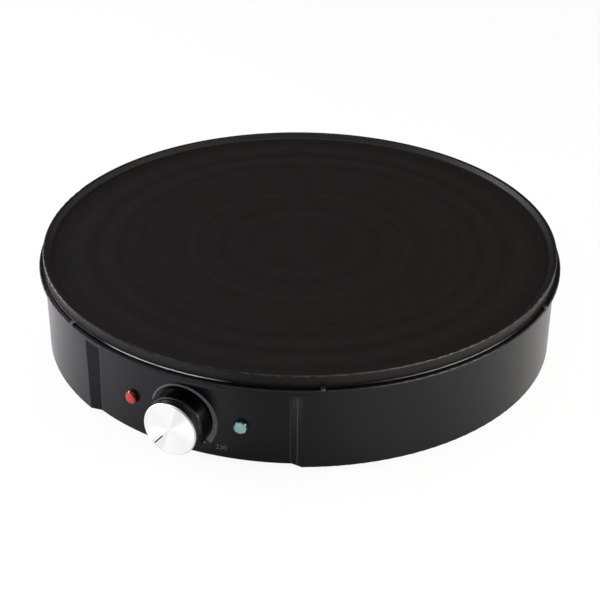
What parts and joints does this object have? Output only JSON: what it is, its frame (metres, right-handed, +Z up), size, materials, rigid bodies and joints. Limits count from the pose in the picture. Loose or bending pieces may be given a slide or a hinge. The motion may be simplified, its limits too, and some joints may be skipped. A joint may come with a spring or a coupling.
{
  "type": "electric crepe maker",
  "caption": "Round countertop crepe maker: rimmed non-stick hot plate on a low round plastic housing with a recessed panel, temperature knob and pilot lamps.",
  "frame": {"origin": "on the table under the cooking plate's axis", "axes": "+Z up along the plate's axis; the control panel and knob face -Y; the cord leaves the rear wall towards +Y"},
  "size_m": [0.312, 0.3275, 0.0637],
  "materials": {
    "plate_coating": "cast aluminium under a satin black non-stick coating",
    "ring_black": "satin black enamel",
    "pad_black": "moulded heat-resistant rubber",
    "housing_black": "fine satin moulding",
    "base_black": "plain matte moulding",
    "foot_rubber": "soft matte rubber",
    "knob_black": "satin moulding",
    "knob_aluminium": "spun face with a bright chamfer",
    "lens_red": "clear tinted, faceted inside",
    "lens_green": "clear tinted, faceted inside",
    "neon_glass": "clear tube",
    "gland_black": "soft satin",
    "thermostat_grey": "plated sheet",
    "sheathed_steel": "heat-tinted tube",
    "aluminised_sheet": "bright pressed sheet",
    "steel": "zinc plated",
    "brass": "turned",
    "ceramic": null,
    "terminal_white": "moulded",
    "wire_sleeve": "woven glass sleeve",
    "wire_earth": "smooth sleeve"
  },
  "bodies": {
    "appliance": {"cooking_plate": "plate_coating", "heating_element": "sheathed_steel", "element_seals": "ceramic", "element_pins": "steel", "hold_down_screws": "steel", "pan_sleeves": "steel", "reflector_pan": "aluminised_sheet", "heat_ring": "ring_black", "plate_pads": "pad_black", "housing_shell": "housing_black", "base_cover": "base_black", "foot_front_left": "foot_rubber", "foot_front_right": "foot_rubber", "foot_rear_right": "foot_rubber", "foot_rear_left": "foot_rubber", "base_screws": "steel", "thermostat_case": "thermostat_grey", "bushing_nut": "brass", "thermostat_bracket": "aluminised_sheet", "bracket_screws": "steel", "thermostat_blades": "brass", "sensor_bulb": "brass", "bulb_strap_left": "steel", "bulb_strap_right": "steel", "capillary_tube": "brass", "red_lamp_lens": "lens_red", "red_neon_lamp": "neon_glass", "red_lamp_retainer": "steel", "green_lamp_lens": "lens_green", "green_neon_lamp": "neon_glass", "green_lamp_retainer": "steel", "cord_gland": "gland_black", "terminal_block": "terminal_white", "terminal_screws": "steel", "thermal_fuse": "steel", "fuse_strap": "steel", "live_wire": "wire_sleeve", "switched_wire": "wire_sleeve", "fuse_feed_wire": "wire_sleeve", "fuse_return_wire": "wire_sleeve", "earth_wire": "wire_earth", "earth_tag": "brass"},
    "knob": {"knob_body": "knob_black", "knob_cap": "knob_aluminium", "knob_spring_clip": "steel", "thermostat_spindle": "brass"},
    "pin": {"push_pin": "ceramic"}
  },
  "joints": [
    {"name": "knob_turn", "type": "hinge", "parent": "appliance", "child": "knob", "pos_m": [0, -0.1493, 0.0252], "axis": [0, 1, 0], "range_deg": [0, 270]},
    {"name": "pin_slide", "type": "slide", "parent": "appliance", "child": "pin", "axis": [0, 1, 0], "range_m": [0, 0.00081]}
  ],
  "couplings": [
    {"joint": "pin_slide", "follows": "knob_turn", "m_per_rad": 0.00017}
  ]
}
